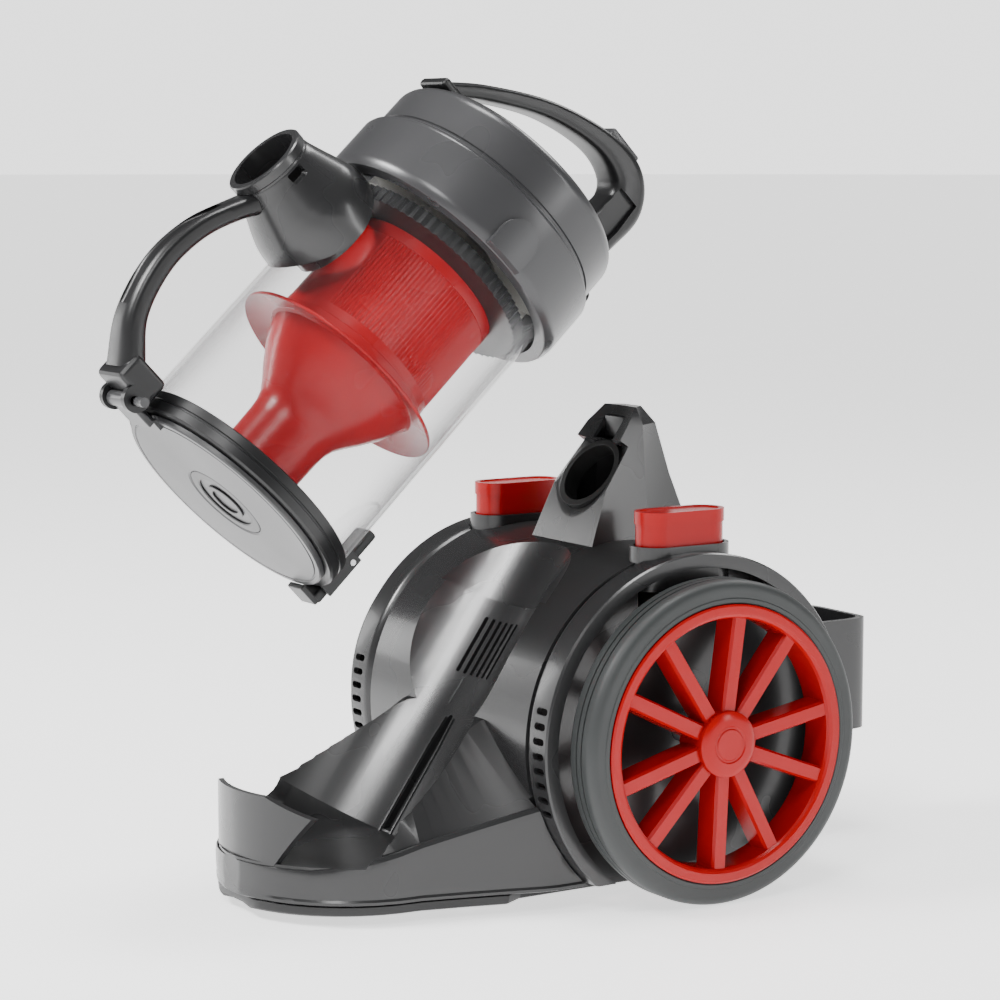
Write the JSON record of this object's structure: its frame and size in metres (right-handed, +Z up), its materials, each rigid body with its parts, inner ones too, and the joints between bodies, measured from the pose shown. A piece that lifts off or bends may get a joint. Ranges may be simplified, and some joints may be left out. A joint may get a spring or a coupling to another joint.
{
  "type": "canister vacuum cleaner",
  "caption": "Bagless canister vacuum cleaner on spoked wheels, its clear cyclone dust bin lifted off the cradle, with strap and carry handles.",
  "frame": {"origin": "on the floor under the middle of the whole object's box, with the dust bin lifted as shown", "axes": "+Z up, -Y towards the nose, +X towards the cleaner's own left, the power button's side"},
  "size_m": [0.2992, 0.5417, 0.5042],
  "materials": {
    "charcoal_plastic": "glossy charcoal ABS",
    "black_plastic": "satin black plastic",
    "red_plastic": "glossy red ABS",
    "red_clear_plastic": "glossy red, slightly clear plastic",
    "clear_plastic": "clear colourless plastic",
    "grey_plastic": "satin grey plastic",
    "mid_grey_plastic": "satin mid-grey plastic",
    "black_rubber": "matte black rubber",
    "tyre_rubber": "matte dark grey rubber",
    "steel": "plain steel",
    "fan_aluminium": "cast aluminium",
    "rotor_laminations": "steel laminations with copper windings",
    "filter_paper": "off-white pleated filter paper"
  },
  "bodies": {
    "base": {"upper_housing": "charcoal_plastic", "chassis_pan": "black_plastic", "spine_port_seal": "black_rubber", "bin_catch": "black_plastic", "exhaust_grille": "black_plastic", "exhaust_filter": "filter_paper", "arch_cover_left": "charcoal_plastic", "arch_cover_right": "charcoal_plastic", "parking_bracket": "charcoal_plastic", "cord_outlet": "black_rubber", "motor_housing": "steel", "motor_mount_front": "black_rubber", "motor_mount_rear": "black_rubber", "suction_duct": "black_plastic", "reel_spindle": "steel", "power_switch": "black_plastic", "power_button_spring": "steel", "rewind_button_spring": "steel", "left_axle_shaft": "steel", "right_axle_shaft": "steel", "chassis_screw_1": "steel", "chassis_screw_2": "steel", "chassis_screw_3": "steel", "chassis_screw_4": "steel"},
    "left_wheel": {"left_wheel_tyre": "tyre_rubber", "left_wheel_rim": "red_plastic", "left_wheel_bushing": "steel", "left_wheel_hub_cap": "red_plastic"},
    "right_wheel": {"right_wheel_tyre": "tyre_rubber", "right_wheel_rim": "red_plastic", "right_wheel_bushing": "steel", "right_wheel_hub_cap": "red_plastic"},
    "caster": {"caster_fork": "black_plastic", "caster_axle": "steel"},
    "caster_roller": {"caster_wheel": "tyre_rubber"},
    "rotor": {"motor_rotor": "rotor_laminations", "motor_fan": "fan_aluminium"},
    "reel": {"cord_reel": "black_plastic"},
    "power_key": {"power_button": "red_plastic"},
    "rewind_key": {"rewind_button": "red_plastic"},
    "dust_bin": {"bin_cylinder": "clear_plastic", "bin_bottom_ring": "black_plastic", "inlet_elbow": "grey_plastic", "strap_handle": "black_plastic", "flap_hinge_pin": "steel", "latch_pin": "steel", "cyclone_funnel": "red_clear_plastic", "cyclone_shroud": "red_clear_plastic", "separator_ring": "black_plastic"},
    "flap": {"bin_flap": "mid_grey_plastic", "flap_seal": "black_rubber", "cyclone_foot_seal": "black_rubber"},
    "latch": {"flap_latch": "black_plastic"},
    "lid": {"lid_collar": "grey_plastic", "lid_cap": "grey_plastic", "outlet_duct": "black_plastic", "lid_filter": "filter_paper", "lid_seal": "black_rubber", "carry_handle": "black_plastic"},
    "release_key": {"release_button": "grey_plastic"}
  },
  "joints": [
    {"name": "left_wheel_spin", "type": "hinge", "parent": "base", "child": "left_wheel", "pos_m": [0.134, 0.0679, 0.1], "axis": [1, 0, 0], "continuous": true},
    {"name": "right_wheel_spin", "type": "hinge", "parent": "base", "child": "right_wheel", "pos_m": [-0.134, 0.0679, 0.1], "axis": [1, 0, 0], "continuous": true},
    {"name": "caster_swivel", "type": "hinge", "parent": "base", "child": "caster", "pos_m": [0, -0.1281, 0.024], "axis": [0, 0, 1], "continuous": true},
    {"name": "caster_roll", "type": "hinge", "parent": "caster", "child": "caster_roller", "pos_m": [0, -0.1211, 0.012], "axis": [1, 0, 0], "continuous": true},
    {"name": "motor_spin", "type": "hinge", "parent": "base", "child": "rotor", "pos_m": [-0.034, 0.0819, 0.074], "axis": [0, 1, 0], "continuous": true},
    {"name": "reel_spin", "type": "hinge", "parent": "base", "child": "reel", "pos_m": [0.056, 0.0819, 0.086], "axis": [1, 0, 0], "continuous": true},
    {"name": "power_press", "type": "slide", "parent": "base", "child": "power_key", "axis": [0, 0, -1], "range_m": [0, 0.004], "stiffness_N_per_m": 600, "springref_m": -0.001, "deforming": ["power_button_spring"]},
    {"name": "rewind_press", "type": "slide", "parent": "base", "child": "rewind_key", "axis": [0, 0, -1], "range_m": [0, 0.004], "stiffness_N_per_m": 600, "springref_m": -0.001, "deforming": ["rewind_button_spring"]},
    {"name": "bin_lift", "type": "hinge", "parent": "base", "child": "dust_bin", "pos_m": [0, 0.5975, 0.3741], "axis": [-1, 0, 0], "range_deg": [-11.5, 0]},
    {"name": "flap_swing", "type": "hinge", "parent": "dust_bin", "child": "flap", "pos_m": [0, -0.26134, 0.31436], "axis": [-1, 0, 0], "range_deg": [0, 95]},
    {"name": "latch_release", "type": "hinge", "parent": "dust_bin", "child": "latch", "pos_m": [0, -0.11662, 0.20907], "axis": [1, 0, 0], "range_deg": [0, 10], "stiffness_Nm_per_rad": 1, "springref_deg": -5.73},
    {"name": "lid_pull", "type": "slide", "parent": "dust_bin", "child": "lid", "axis": [0, 0.7254, 0.6884], "range_m": [0, 0.08]},
    {"name": "release_press", "type": "slide", "parent": "lid", "child": "release_key", "axis": [0, -0.7254, -0.6884], "range_m": [0, 0.0025], "stiffness_N_per_m": 600, "springref_m": -0.001}
  ]
}
